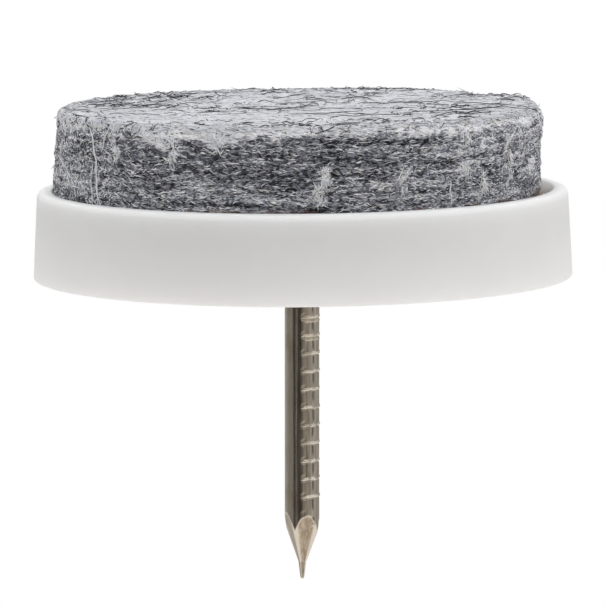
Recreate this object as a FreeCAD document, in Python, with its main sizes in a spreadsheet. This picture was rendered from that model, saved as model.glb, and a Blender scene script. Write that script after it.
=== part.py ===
"""Nail-on felt furniture glide: a plastic cup on a nail, with a thick felt disc glued in its recess.

The glide stands as it works under a chair leg: felt on the floor at z = 0, nail pointing up.
All lengths are in millimetres and all angles in degrees.
"""
import FreeCAD
import Part
import Sketcher
import os

from FreeCAD import Placement, Rotation, Vector

DRIVING_SIZES = {
    # plastic cup
    "base_diameter": 32.0,
    "cup_height": 5.21,
    "side_draft": 3.0,
    "base_edge_bevel": 0.18,
    "rim_outer_round": 0.42,
    "rim_inner_bevel": 0.12,
    "rim_wall": 0.88,
    "recess_depth": 2.4,
    # felt disc and its glue
    "felt_stand": 5.0,
    "felt_clearance": 0.35,
    "felt_near_gap": 0.1,
    "felt_edge_bevel": 0.7,
    "adhesive_thickness": 0.2,
    "adhesive_inset": 0.3,
    # nail
    "nail_length": 18.3,
    "shank_diameter": 2.1,
    "head_diameter": 5.5,
    "head_thickness": 1.0,
    "head_clearance": 0.1,
    "head_edge_bevel": 0.25,
    "neck_flare": 0.25,
    "neck_proud": 0.35,
    "hole_clearance": 0.05,
    # grip ridges on one side of the shank
    "grip_pitch": 1.077,
    "grip_start": 1.355,
    "grip_margin": 0.9,
    "grip_crest": 0.1,
    "grip_depth": 0.045,
    "grip_taper": 0.01,
    "grip_run_out": 0.7,
    "nail_turn": 10.0,
    # diamond point
    "point_length": 4.13,
    "nib_length": 1.03,
    "nib_root_width": 0.32,
    "nib_tip_width": 0.26,
    "facet_turn": 60.0,
}

FACET_COUNT = 4
FULL_TURN = 360
# how far a cut reaches past the surface that it cuts
OVERCUT = 0.2
# an edge to be rounded lies this close to its stated radius and height
EDGE_MATCH = 1e-5
# most of the rim's wall that its outer rounding and its inner bevel may take
RIM_OUTER_SHARE = 0.82
RIM_INNER_SHARE = 0.14

# heights, from the floor up
RIM_Z = "Sizes.felt_stand"
FLOOR_Z = f"({RIM_Z} + Sizes.recess_depth)"
SEAT_Z = f"({FLOOR_Z} + Sizes.head_thickness)"
MOUNT_Z = f"({RIM_Z} + Sizes.cup_height)"
TIP_Z = f"({MOUNT_Z} + Sizes.nail_length)"
FELT_TOP_Z = f"({FLOOR_Z} - Sizes.adhesive_thickness)"
NECK_END_Z = f"({MOUNT_Z} + Sizes.neck_proud)"
FACET_Z = f"({TIP_Z} - Sizes.point_length)"
NIB_Z = f"({TIP_Z} - Sizes.nib_length)"

# radii
BASE_RADIUS = "Sizes.base_diameter / 2"
RIM_RADIUS = f"({BASE_RADIUS} - Sizes.cup_height * tan(Sizes.side_draft * 1 deg))"
RECESS_RADIUS = f"({RIM_RADIUS} - Sizes.rim_wall)"
FELT_RADIUS = f"({RECESS_RADIUS} - Sizes.felt_clearance)"
HEAD_RADIUS = "Sizes.head_diameter / 2"
SHANK_RADIUS = "Sizes.shank_diameter / 2"
NECK_RADIUS = f"({SHANK_RADIUS} + Sizes.neck_flare)"

# the felt is glued in off centre, close to one side of the recess
FELT_OFFSET = "(Sizes.felt_clearance - Sizes.felt_near_gap)"
# share of the neck's taper that is left where it passes the mounting face
NECK_LEFT = f"(Sizes.neck_proud / ({NECK_END_Z} - {SEAT_Z}))"
NECK_MOUNT_RADIUS = f"({SHANK_RADIUS} + Sizes.neck_flare * {NECK_LEFT})"

# the ridges keep their pitch and fill the straight shank, so a longer nail has more of them
RIDGED_LENGTH = "(Sizes.nail_length - Sizes.point_length - Sizes.grip_start - Sizes.grip_margin)"
RIDGE_COUNT = f"(floor({RIDGED_LENGTH} / Sizes.grip_pitch) + 1)"

doc = FreeCAD.newDocument("FurnitureGlide")


def make_sheet():
    sheet = doc.addObject("Spreadsheet::Sheet", "Sizes")
    for row, (alias, size) in enumerate(DRIVING_SIZES.items(), start=1):
        sheet.set(f"A{row}", alias)
        sheet.set(f"B{row}", str(size))
        sheet.setAlias(f"B{row}", alias)
    doc.recompute()
    return sheet


sizes = make_sheet()


def value(expression):
    """The number that an expression on the sheet's cells has now."""
    return float(sizes.evalExpression(str(expression)))


def origin_feature(body, role):
    return next(f for f in body.Origin.OriginFeatures if f.Role == role)


def make_body(label):
    body = doc.addObject("PartDesign::Body", label)
    body.Label = label
    return body


def make_sketch(body, name, plane_role):
    sketch = body.newObject("Sketcher::SketchObject", name)
    sketch.AttachmentSupport = (origin_feature(body, plane_role), [""])
    sketch.MapMode = "FlatFace"
    return sketch


def place_point(sketch, edge, end, x_expression, y_expression):
    """Tie one end of an edge to two expressions, measured from the sketch's origin."""
    for kind, expression in (("DistanceX", x_expression), ("DistanceY", y_expression)):
        constraint = Sketcher.Constraint(kind, -1, 1, edge, end, value(expression))
        index = sketch.addConstraint(constraint)
        sketch.setExpression(f"Constraints[{index}]", str(expression))


def profile(body, name, plane_role, corners):
    """Closed outline of straight edges whose corners are pairs of expressions."""
    sketch = make_sketch(body, name, plane_role)
    points = [Vector(value(x), value(y), 0) for x, y in corners]
    count = len(points)
    for i, start in enumerate(points):
        sketch.addGeometry(Part.LineSegment(start, points[(i + 1) % count]), False)
    for i, (x, y) in enumerate(corners):
        sketch.addConstraint(Sketcher.Constraint("Coincident", i, 2, (i + 1) % count, 1))
        place_point(sketch, i, 1, x, y)
    return sketch


def disc_sketch(body, name, radius):
    sketch = make_sketch(body, name, "XY_Plane")
    sketch.addGeometry(Part.Circle(Vector(), Vector(0, 0, 1), value(radius)), False)
    sketch.addConstraint(Sketcher.Constraint("Coincident", 0, 3, -1, 1))
    index = sketch.addConstraint(Sketcher.Constraint("Radius", 0, value(radius)))
    sketch.setExpression(f"Constraints[{index}]", radius)
    return sketch


def revolve(body, name, sketch):
    feature = body.newObject("PartDesign::Revolution", name)
    feature.Profile = sketch
    feature.ReferenceAxis = (origin_feature(body, "Z_Axis"), [""])
    feature.Angle = FULL_TURN
    doc.recompute()
    return feature


def pad(body, name, sketch, length):
    feature = body.newObject("PartDesign::Pad", name)
    feature.Profile = sketch
    feature.setExpression("Length", length)
    doc.recompute()
    return feature


def circular_edge(shape, radius, height):
    """Name of the circular edge of a turned shape that has this radius at this height."""
    for number, edge in enumerate(shape.Edges, start=1):
        if not isinstance(edge.Curve, Part.Circle):
            continue
        off = max(abs(edge.Curve.Radius - value(radius)), abs(edge.Curve.Center.z - value(height)))
        if off < EDGE_MATCH:
            return f"Edge{number}"
    raise RuntimeError(f"no edge of radius {value(radius)} at height {value(height)}")


def dress_edge(body, name, kind, size_property, size, radius, height):
    """Round or bevel one circular edge of the body's tip."""
    tip = body.Tip
    feature = body.newObject(kind, name)
    feature.Base = (tip, [circular_edge(tip.Shape, radius, height)])
    feature.setExpression(size_property, size)
    doc.recompute()
    return feature


def round_edge(body, name, size, radius, height):
    return dress_edge(body, name, "PartDesign::Fillet", "Radius", size, radius, height)


def bevel_edge(body, name, size, radius, height):
    return dress_edge(body, name, "PartDesign::Chamfer", "Size", size, radius, height)


def make_base_cup():
    body = make_body("base_cup")
    bore_radius = f"({HEAD_RADIUS} + Sizes.head_clearance)"
    section = profile(body, "CupSection", "XZ_Plane", [
        (f"({NECK_MOUNT_RADIUS} + Sizes.hole_clearance)", MOUNT_Z),
        (BASE_RADIUS, MOUNT_Z),
        (RIM_RADIUS, RIM_Z),
        (RECESS_RADIUS, RIM_Z),
        (RECESS_RADIUS, FLOOR_Z),
        (bore_radius, FLOOR_Z),
        (bore_radius, SEAT_Z),
        (f"({NECK_RADIUS} + Sizes.hole_clearance)", SEAT_Z),
    ])
    revolve(body, "CupMoulding", section)
    outer_round = f"min(Sizes.rim_outer_round; Sizes.rim_wall * {RIM_OUTER_SHARE})"
    inner_bevel = f"min(Sizes.rim_inner_bevel; Sizes.rim_wall * {RIM_INNER_SHARE})"
    bevel_edge(body, "BaseEdge", "Sizes.base_edge_bevel", BASE_RADIUS, MOUNT_Z)
    round_edge(body, "RimOuterEdge", outer_round, RIM_RADIUS, RIM_Z)
    bevel_edge(body, "RimInnerEdge", inner_bevel, RECESS_RADIUS, RIM_Z)
    return body


def make_adhesive_layer():
    body = make_body("adhesive_layer")
    disc = disc_sketch(body, "GlueOutline", f"{FELT_RADIUS} - Sizes.adhesive_inset")
    pad(body, "GlueDisc", disc, "Sizes.adhesive_thickness")
    body.setExpression("Placement.Base.x", FELT_OFFSET)
    body.setExpression("Placement.Base.z", FELT_TOP_Z)
    return body


def make_felt_pad():
    body = make_body("felt_pad")
    disc = disc_sketch(body, "FeltOutline", FELT_RADIUS)
    pad(body, "FeltDisc", disc, FELT_TOP_Z)
    bevel_edge(body, "FeltFloorEdge", "Sizes.felt_edge_bevel", FELT_RADIUS, "0")
    body.setExpression("Placement.Base.x", FELT_OFFSET)
    return body


def cut_checked(body, before, what):
    """A cut that points away from the solid removes nothing, so the volume has to drop."""
    doc.recompute()
    if not body.Tip.Shape.Volume < before:
        raise RuntimeError(f"{what} removed nothing")


def grip_land(body, name, low, high):
    """Shallow crescent land pressed into one side of the shank, from one height to another.

    The cut turns about an axis set off from the nail's own by the depth of the land,
    so the land fades out a quarter turn to either side of its middle.
    """
    before = body.Tip.Shape.Volume
    axis_x = "Sizes.grip_depth"
    high_x = f"({axis_x} + {SHANK_RADIUS})"
    low_x = f"({high_x} - Sizes.grip_taper)"
    outside = f"({high_x} + {OVERCUT})"
    section = profile(body, f"{name}Section", "XZ_Plane", [
        (low_x, f"({low} + Sizes.grip_depth)"),
        (high_x, f"({high} - Sizes.grip_depth)"),
        (outside, f"({high} + {OVERCUT})"),
        (outside, f"({low} - {OVERCUT})"),
    ])
    foot = Vector(value(axis_x), 0, 0)
    top = Vector(value(axis_x), value(MOUNT_Z), 0)
    axis = section.addGeometry(Part.LineSegment(foot, top), True)
    place_point(section, axis, 1, axis_x, "0")
    place_point(section, axis, 2, axis_x, MOUNT_Z)
    groove = body.newObject("PartDesign::Groove", name)
    groove.Profile = section
    groove.ReferenceAxis = (section, ["Axis0"])
    groove.Angle = FULL_TURN
    cut_checked(body, before, name)
    return groove


def cut_grip_lands(body):
    """A row of lands leaves the grip ridges standing between them, flush with the shank."""
    half_crest = "Sizes.grip_crest / 2"
    first_ridge = f"({MOUNT_Z} + Sizes.grip_start)"
    last_ridge = f"({first_ridge} + Sizes.grip_pitch * ({RIDGE_COUNT} - 1))"
    run_out_end = f"({last_ridge} + Sizes.grip_run_out)"
    grip_land(body, "GripRunOut", f"({last_ridge} + {half_crest})", run_out_end)
    land = grip_land(body, "GripLand", f"({first_ridge} - Sizes.grip_pitch + {half_crest})",
                     f"({first_ridge} - {half_crest})")

    before = body.Tip.Shape.Volume
    pattern = body.newObject("PartDesign::LinearPattern", "GripLands")
    pattern.Originals = [land]
    pattern.Direction = (origin_feature(body, "Z_Axis"), [""])
    pattern.setExpression("Length", f"Sizes.grip_pitch * ({RIDGE_COUNT} - 1)")
    pattern.setExpression("Occurrences", RIDGE_COUNT)
    body.Tip = pattern
    cut_checked(body, before, "row of grip lands")


def cut_point(body):
    """Four flat facets shear the shank to a diamond point that ends in a small square nib."""
    before = body.Tip.Shape.Volume
    root = "Sizes.nib_root_width / 2"
    slope = f"(({NIB_Z} - {FACET_Z}) / ({SHANK_RADIUS} - {root}))"
    outside = f"({SHANK_RADIUS} + {OVERCUT})"
    above = f"({TIP_Z} + {OVERCUT})"
    waste = profile(body, "FacetWaste", "XZ_Plane", [
        (outside, f"({FACET_Z} - {OVERCUT} * {slope})"),
        (root, NIB_Z),
        ("Sizes.nib_tip_width / 2", above),
        (outside, above),
    ])
    waste.AttachmentOffset = Placement(Vector(), Rotation(Vector(0, 1, 0), 0))
    waste.setExpression("AttachmentOffset.Rotation.Angle", "Sizes.facet_turn * 1 deg")
    facet = body.newObject("PartDesign::Pocket", "PointFacet")
    facet.Profile = waste
    facet.Midplane = True
    facet.setExpression("Length", f"Sizes.shank_diameter + 2 * {outside}")
    cut_checked(body, before, "point facet")

    before = body.Tip.Shape.Volume
    pattern = body.newObject("PartDesign::PolarPattern", "PointFacets")
    pattern.Originals = [facet]
    pattern.Axis = (origin_feature(body, "Z_Axis"), [""])
    pattern.Angle = FULL_TURN
    pattern.Occurrences = FACET_COUNT
    body.Tip = pattern
    cut_checked(body, before, "point facets")


def make_nail():
    body = make_body("nail")
    section = profile(body, "NailSection", "XZ_Plane", [
        ("0", FLOOR_Z),
        (HEAD_RADIUS, FLOOR_Z),
        (HEAD_RADIUS, SEAT_Z),
        (NECK_RADIUS, SEAT_Z),
        (SHANK_RADIUS, NECK_END_Z),
        (SHANK_RADIUS, TIP_Z),
        ("0", TIP_Z),
    ])
    revolve(body, "NailBlank", section)
    bevel_edge(body, "HeadEdge", "Sizes.head_edge_bevel", HEAD_RADIUS, FLOOR_Z)
    cut_grip_lands(body)
    cut_point(body)
    body.Placement = Placement(Vector(), Rotation(Vector(0, 0, 1), 0))
    body.setExpression("Placement.Rotation.Angle", "Sizes.nail_turn * 1 deg")
    return body


def check_document(bodies):
    doc.recompute()
    for item in doc.Objects:
        if "Invalid" in item.State or "Error" in item.State:
            raise RuntimeError(f"{item.Label} did not build: {item.State}")
    for body in bodies:
        shape = body.Shape
        if shape.isNull() or not shape.isValid() or len(shape.Solids) != 1:
            raise RuntimeError(f"{body.Label} is not one sound solid")


def main():
    bodies = [make_base_cup(), make_nail(), make_adhesive_layer(), make_felt_pad()]
    check_document(bodies)
    os.makedirs("parts", exist_ok=True)
    for body in bodies:
        body.Shape.exportStep(f"parts/{body.Label}.step")
        box = body.Shape.optimalBoundingBox(False)
        print(f"{body.Label}: {body.Shape.Volume:.2f} mm3,"
              f" x {box.XMin:.3f} to {box.XMax:.3f},"
              f" y {box.YMin:.3f} to {box.YMax:.3f},"
              f" z {box.ZMin:.3f} to {box.ZMax:.3f}")


main()
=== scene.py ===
# Looks of a nail-on felt furniture glide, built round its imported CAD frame.
# The glide stands on its felt with the nail up. The photograph shows it the other way up:
# photo up is -Z, photo right is -X, and the camera stands on the -Y side, below the floor's level.
# A photo azimuth is an angle in degrees about the glide's axis, from the side that faces the camera
# towards the photo's right. Lengths are in millimetres.
import math

import bpy
import numpy as np
from mathutils import Matrix, Vector


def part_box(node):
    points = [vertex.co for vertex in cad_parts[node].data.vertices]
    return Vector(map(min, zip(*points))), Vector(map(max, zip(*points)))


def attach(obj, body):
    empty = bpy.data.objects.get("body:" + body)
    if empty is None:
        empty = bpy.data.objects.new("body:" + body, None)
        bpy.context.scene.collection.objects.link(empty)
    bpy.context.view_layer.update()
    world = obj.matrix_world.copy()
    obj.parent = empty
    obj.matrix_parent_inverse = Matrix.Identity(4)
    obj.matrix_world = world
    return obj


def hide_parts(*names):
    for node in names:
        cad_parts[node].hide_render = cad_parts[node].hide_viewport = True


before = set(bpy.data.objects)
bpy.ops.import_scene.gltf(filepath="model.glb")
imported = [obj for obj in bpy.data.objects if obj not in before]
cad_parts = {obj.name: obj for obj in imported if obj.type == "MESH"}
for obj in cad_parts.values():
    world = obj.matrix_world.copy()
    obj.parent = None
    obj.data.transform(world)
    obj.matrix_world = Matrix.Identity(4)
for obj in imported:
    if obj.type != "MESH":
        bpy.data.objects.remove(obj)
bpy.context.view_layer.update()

MM = 0.001
TAU = 2 * math.pi
TINY = 1e-12
SEED = 4811
# name of the map on which each strand has a cell of its own
STRAND_MAP = "OFBake"

# places read from the frame
cup_low, cup_high = (np.array(corner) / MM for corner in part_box("base_cup"))
nail_low, nail_high = (np.array(corner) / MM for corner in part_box("nail"))
felt_low, felt_high = (np.array(corner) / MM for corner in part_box("felt_pad"))
_, glue_high = (np.array(corner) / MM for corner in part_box("adhesive_layer"))
RIM_Z = cup_low[2]
MOUNT_Z = cup_high[2]
HEAD_Z = nail_low[2]
TIP_Z = nail_high[2]
FELT_TOP_Z = felt_high[2]

# camera
CAMERA_AWAY = 300.0
CAMERA_BELOW = 24.5
AIM_Z = 11.86
AIM_X = 0.053
CAMERA_ROLL = -0.474
CAMERA_LENS = 302.3
SENSOR_WIDTH = 36.0
CAMERA_NEAR = 10.0
CAMERA_FAR = 20000.0
FLOOR_HALF = 1500.0

# brightness of the studio's walls round the glide, at shares of a turn
STUDIO_WALLS = [
    (0.00, 0.58),
    (0.20, 0.47),
    (0.32, 0.62),
    (0.42, 0.38),
    (0.49, 0.16),
    (0.525, 0.06),
    (0.585, 0.06),
    (0.607, 0.38),
    (0.63, 0.06),
    (0.66, 0.05),
    (0.685, 0.32),
    (0.76, 0.33),
    (0.88, 0.54),
    (1.00, 0.58),
]
STUDIO_NAIL_END = (1.02, 0.99, 0.965)
STUDIO_FELT_END = 1.60

# plastic cup
BASE_RADIUS = 16.0
SIDE_DRAFT = 3.0
BASE_EDGE_ROUND = 0.13
RIM_WALL = 0.88
RIM_OUTER_ROUND = 0.42
RIM_INNER_ROUND = 0.12
RECESS_FLOOR_Z = glue_high[2]
RECESS_CORNER_ROUND = 0.2
BORE_EDGE_ROUND = 0.1
SEAT_DEPTH = 1.0
BORE_RADIUS = 2.85
HOLE_SEAT_RADIUS = 1.35
HOLE_MOUNT_RADIUS = 1.14
HOLE_EDGE_ROUND = 0.06
CUP_SEGMENTS = 224
ROUND_STEPS = 7
FLAT_WEIGHT = 80
RIM_RADIUS = BASE_RADIUS - (MOUNT_Z - RIM_Z) * math.tan(math.radians(SIDE_DRAFT))
RECESS_RADIUS = RIM_RADIUS - RIM_WALL

# nail
SHANK_RADIUS = 1.05
HEAD_RADIUS = 2.75
HEAD_BEVEL = 0.25
HEAD_MIDDLE = 0.3
NECK_RADIUS = 1.3
NECK_END_Z = MOUNT_Z + 0.35
NAIL_LEAN = math.tan(math.radians(0.474))
NAIL_SHIFT = 0.05
NAIL_SHIFT_RUN = 1.0
NAIL_SEGMENTS = 160
SHANK_ROW = 0.04
POINT_ROW = 0.024
POINT_LEAD = 0.1
TIP_FLAT = 0.004
DRAWN_LINES = 0.003

# grip ridges that the dies left standing on one side of the shank
RIDGED_SIDE = math.radians(190)
RIDGE_FIRST_Z = MOUNT_Z + 1.355
RIDGE_PITCH = 1.077
RIDGE_COUNT = 12
RIDGE_HALF_WIDTH = 0.045
RIDGE_WIDTH_SPREAD = 0.35
RIDGE_FLANK = 0.05
RIDGE_DROOP = 0.02
RIDGE_WANDER = 0.03
RIDGE_WORN_TO = 0.45
RIDGE_WEAR = (-0.6, 0.2)
RIDGE_BURR = 0.006
# the first ridges have a second, lower crest
DOUBLED_RIDGES = 3
DOUBLED_OFF = 0.25
DOUBLED_WIDTH = 0.6
DOUBLED_HEIGHT = 0.55
# lands between the ridges, deeper behind each ridge
LAND_DEPTH = 0.042
LAND_SCRATCHES = 0.008
UNDERCUT_DEPTH = 0.03
UNDERCUT_OFF = 0.12
UNDERCUT_WIDTH = 0.05
# border of the pressed side, by the cosine of the angle from its middle, scalloped between the ridges
GRIP_BORDER = (0.02, 0.32)
GRIP_SCALLOP = 0.13
GRIP_SCALLOP_RUN = (0.05, 0.35)
GRIP_RUN_IN = 0.15
# slit scored past each ridge and darkened with painted shade: half width in radians, start and end in shares
# of the pitch
SLIT_AZIMUTH = 40.0
SLIT_HALF_WIDTH = 0.08
SLIT_DEPTH = 0.022
SLIT_DRIFT = 0.05
SLIT_START = (0.08, 0.2)
SLIT_END = 0.84
SLIT_END_SPREAD = 0.12
SLIT_FADE_BEFORE = 0.3
SLIT_FADE_AFTER = 0.1
# painted highlight along a band of the pressed side, and most on its crests
PAINTED_SHEEN_AZIMUTH = 46.0
PAINTED_SHEEN_HALF_WIDTH = 0.42
PAINTED_SHEEN_SHARE = 0.3
CREST_PAINTED_HIGHLIGHT = 0.9

# diamond point
FACET_FIRST = math.radians(70)
FACET_COUNT = 4
FACET_Z = TIP_Z - 4.13
NIB_Z = TIP_Z - 1.03
NIB_ROOT = 0.18
NIB_TIP = 0.085
NIB_ROUND = 0.12
NIB_END_SHARE = 0.01
# painted highlight on the rim of the facets, and a painted highlight strip along each of their two sides:
# from, to and strength
FACET_RIM_HIGHLIGHT_WIDTH = 0.035
FACET_RIM_PAINTED_HIGHLIGHT = 0.7
FACET_PAINTED_HIGHLIGHT_STRIPS = ((0.42, 0.66, 0.95), (0.55, 0.8, 0.7))
# flake left standing near the upper end of a facet, with a painted highlight on it
FLAKE_AZIMUTH = 43.0
FLAKE_HALF_TURN = 0.07
FLAKE_ALONG = 0.8
FLAKE_HALF_LENGTH = 0.09
FLAKE_HEIGHT = 0.06
# painted shadow spot on the nib
NIB_SHADOW_AZIMUTH = 58.0
NIB_SHADOW_HALF_TURN = 0.55
NIB_SHADOW_Z = TIP_Z - 0.5
NIB_SHADOW_HALF_LENGTH = 0.12
NIB_SHADOW_SHARE = 0.8

# felt disc
FELT_AXIS_X = (felt_low[0] + felt_high[0]) / 2
FELT_RADIUS = (felt_high[0] - felt_low[0]) / 2
FELT_EDGE_ROUND = 0.65
FELT_FLAT = FELT_RADIUS - FELT_EDGE_ROUND
FELT_EDGE_RUN = FELT_EDGE_ROUND * math.pi / 2
FELT_SIDE_RUN = FELT_FLAT + FELT_EDGE_RUN
FELT_MIDDLE = 0.3
FELT_SEGMENTS = 600
FACE_ROWS = 34
EDGE_ROWS = 12
SIDE_ROWS = 58
# rings that close the glued face, as shares of its outline
GLUED_RINGS = (0.97, 0.6, 0.05)
FELT_SWELL = 0.05
# the corner is fuller on +X and worn rounder on -X, by this much and over this run
FELT_CORNER_FULL = 0.22
FELT_BRIM_RUN = 0.4
FELT_CORNER_WORN = 0.14
FELT_CORNER_RUN = 0.6
# a dent and a lip in the edge and a waist below it: photo azimuth, half width in radians, depth
FELT_DENT = (127.0, 0.055, 0.30)
FELT_DENT_RUN = 2.5
FELT_LIP = (109.0, 0.13, 0.24)
FELT_WAIST = (90.0, 0.5, 0.18)
FELT_WAIST_HEIGHTS = (1.0, 2.6)
# the floor face is cut a little out of square: it stands off the floor, and this much higher on +X
FELT_OFF_FLOOR = 0.05
FELT_TILT = 0.27
# the disc leans towards -X and narrows on its way down to the floor
FELT_LEAN = 0.14
FELT_NARROWING = 0.17
# fine relief of the skin
FACE_CLUMPS = 0.03
SIDE_LAYERS = 0.05
SIDE_LUMPS = 0.03


def photo_turn(azimuth):
    """Angle about the axis of a photo azimuth."""
    return np.radians(-90.0 - np.asarray(azimuth, float))


# pale tufts that the needles pulled down the felt's side: photo azimuth, height from and to, strength
CAMERA_SIDE_TUFTS = [
    (5.4, 2.3, 4.7, 1.0),
    (24.5, 2.8, 4.2, 0.5),
    (40.6, 0.4, 1.5, 0.9),
    (41.9, 2.4, 3.6, 0.6),
    (46.6, 3.2, 4.8, 0.65),
    (56.9, 1.2, 4.2, 0.6),
    (63.0, 0.8, 2.6, 0.4),
    (-47.6, 0.4, 2.4, 0.6),
    (-30.6, 0.7, 2.2, 1.0),
    (-19.5, 0.6, 1.4, 0.5),
]
# like tufts round the far side: photo azimuths and their scatter, heights, lengths and strengths
FAR_SIDE_TUFTS = 13
FAR_TUFT_SPAN = (80.0, 285.0)
FAR_TUFT_SCATTER = 5.0
FAR_TUFT_STARTS = (0.4, 3.4)
FAR_TUFT_LENGTHS = (0.8, 2.6)
FAR_TUFT_LAST_END = 5.0
FAR_TUFT_STRENGTHS = (0.15, 0.8)
TUFT_HALF_WIDTH = 0.24
# waves of a tuft to either side: width, radians per millimetre, and phase from tuft to tuft
TUFT_WAVES = ((0.24, 1.9, 1), (0.12, 5.3, 2))
# runs over which a tuft starts and ends
TUFT_FADE = 0.3
TUFT_FADE_BEFORE_END = 0.5
# scatter of a tuft's fibres about its middle
TUFT_SCATTER = 0.08
TUFT_SCATTER_BY_STRENGTH = 0.06
# loose pale threads down the side: photo azimuth and height of their start, middle and end
LOOSE_THREADS = [
    ((-48.8, 0.1), (-49.8, 0.8), (-51.6, 1.8)),
    ((-57.0, 0.4), (-52.8, 1.5), (-52.8, 3.2)),
    ((-53.2, 2.1), (-52.6, 3.7), (-50.5, 5.1)),
    ((-54.8, 2.5), (-54.4, 4.0), (-53.6, 5.1)),
    ((-52.0, 2.9), (-52.3, 4.0), (-51.7, 5.1)),
    ((-67.4, 3.2), (-66.6, 3.6), (-65.6, 4.2)),
    ((-78.0, 2.4), (-63.0, 2.9), (-61.6, 5.0)),
    ((36.2, 3.5), (36.0, 4.2), (36.4, 5.0)),
]
# like threads round the far side: photo azimuths, heights, lengths and bow in degrees
FAR_SIDE_THREADS = 16
FAR_THREAD_SPAN = (105.0, 255.0)
FAR_THREAD_STARTS = (0.2, 2.5)
FAR_THREAD_LENGTHS = (1.0, 3.0)
FAR_THREAD_LAST_END = 5.1
FAR_THREAD_BOW = 2.0
FAR_THREAD_BOW_AT_END = 0.5
# all loose threads: points, lift off the skin, bulge, shade and wave
THREAD_POINTS = 14
THREAD_LIFT = 0.16
THREAD_BULGES = (0.03, 0.10)
THREAD_SHADES = (0.94, 1.0)
THREAD_WAVE = 0.004
THREAD_WAVES = 1.5
# how far the pale floor layer reaches down the side, with its ragged border
PALE_REACH = 0.75
PALE_REACH_LESS = 0.30
PALE_REACH_LEAST = 0.36
PALE_RAGGED = 0.28
PALE_THREADED = 0.25
PALE_BORDER = 0.13
# where it hangs further down or stops short: photo azimuth, half width in degrees, more reach
PALE_RAGS = [
    (-32.0, 6.0, 0.60),
    (-19.0, 2.5, 0.50),
    (-14.0, 3.0, 0.25),
    (13.0, 12.0, -0.36),
]
# mean shade of the side, and how much its layers, bands and patches differ from it
SIDE_SHADE = 0.585
SIDE_FINE = 0.20
SIDE_BROAD = 0.08
SIDE_PATCHES = 0.13
SIDE_PATCHES_MORE = 0.07
SIDE_LIGHTER_PLUS_X = 0.10
SIDE_LIGHTER_MINUS_X = 0.12
SIDE_DARKER = 0.06
SIDE_DARKER_AZIMUTH = 24.0
SIDE_DARKER_HALF_WIDTH = 0.2
# shades of the felt between its fibres
# the batt is painted darker than the fibres over it, as painted shade in the gaps between them
BATT_PAINTED_GAP_SHADE = 0.12
BATT_IN_TUFT = 0.3
BATT_PALE = 0.795
BATT_PALE_CLOUDS = 0.03
# painted light: the pale layer is lighter over the edge
BATT_PALE_PAINTED_LIGHT = 0.17
BATT_GRAIN = 0.6
BATT_PALE_GRAIN = 0.10
BATT_PALE_GRAIN_OVER_EDGE = 0.08
BATT_HIDDEN = 0.4
BATT_EDGE_HEIGHTS = (0.05, 0.6)
# brown glue smears on the foot of the felt: photo azimuth and half width in degrees
GLUE_SMEARS = [
    (-10.0, 17.0),
    (28.3, 2.0),
    (43.5, 3.0),
    (56.0, 3.5),
    (84.0, 12.0),
    (150.0, 14.0),
    (-140.0, 9.0),
]
GLUE_SMEAR_BORDER = (0.7, 1.1)
GLUE_CREEP = 0.08
GLUE_FOOT = (RIM_Z - 0.16, RIM_Z + 0.04)
# glue that squeezed up in the wide side of the recess: photo azimuth from and to
GLUE_BEAD_SPAN = (54.0, 128.0)
GLUE_BEAD_SECTIONS = 64
GLUE_BEAD_TOP_POINTS = 10
GLUE_BEAD_FOOT = (1.0, 0.66, 0.33, 0.0)
GLUE_BEAD_CROWN = 0.62
GLUE_BEAD_LUMPS = 0.28
GLUE_BEAD_ENDS = 0.35
GLUE_BEAD_SAG = 0.16
# it laps into the felt, clears the wall and the floor of the recess, and keeps a least thickness
GLUE_BEAD_LAP = 0.02
GLUE_BEAD_OFF_WALL = 0.005
GLUE_BEAD_OFF_FLOOR = 0.02
GLUE_BEAD_THIN_CROWN = 0.03
GLUE_BEAD_THINNEST = 0.02

# how many fibres each layer of the felt shows
SIDE_FIBRES = 27600
TUFT_FIBRES = 1450
PALE_FACE_FIBRES = 3000
DARK_CLUSTERS, DARK_EACH = 72, 4
SPECK_CLUSTERS, SPECK_EACH = 66, 8
STRAY_CLUMP, STRAY_SINGLES = 22, 130
# lengths of fibres: middle one, spread, least, most
SIDE_LENGTHS = (0.40, 0.42, 0.14, 1.2)
PALE_FACE_LENGTHS = (0.95, 0.4, 0.35, 2.4)
DARK_LENGTHS = (2.5, 0.5, 0.7, 5.5)
# widths of fibres, from and to
SIDE_WIDTHS = (0.05, 0.10)
PALE_FACE_WIDTHS = (0.04, 0.07)
DARK_WIDTHS = (0.035, 0.08)
SPECK_WIDTHS = (0.03, 0.05)
STRAY_WIDTHS = (0.035, 0.06)
THREAD_WIDTHS = (0.08, 0.105)
# points along a fibre
SIDE_POINTS = 3
PALE_FACE_POINTS = 5
DARK_POINTS = 15
SPECK_POINTS = 4
STRAY_POINTS = 8
# curl and kink of fibres
SIDE_BENDS = (0.6, 0.2)
PALE_FACE_BENDS = (1.6, 0.3)
DARK_BENDS = (2.2, 0.45)
SPECK_BENDS = (1.5, 0.3)
STRAY_BENDS = (1.6, 0.4)
# the side's fibres: slope of the level ones and the upright ones, share and shade of the pale and dark ones
SIDE_FOOT_Z = RIM_Z + 0.15
SIDE_SLOPE = 0.19
SIDE_SLOPE_MORE = 0.5
UPRIGHT_SLOPE = 0.75
SALT_SHARE = 0.62
SALT_SHADE = 0.31
PEPPER_SHADE = -0.45
SHADE_SPREAD = 0.12
TUFT_PULL = 0.8
TUFT_PALE_SHARE = 0.88
TUFT_PALE_SHADE = 0.98
TUFT_GREY_SHADE = 0.5
TUFT_SHADE_SPREAD = 0.04
TUFT_LIFT = 0.04
# they start on the floor face, lie at these depths and dip at their ends
SIDE_OVERLAP = 0.4
SIDE_LIFTS = (-0.03, 0.04)
SIDE_DIPS = (0.0, 0.06)
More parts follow.
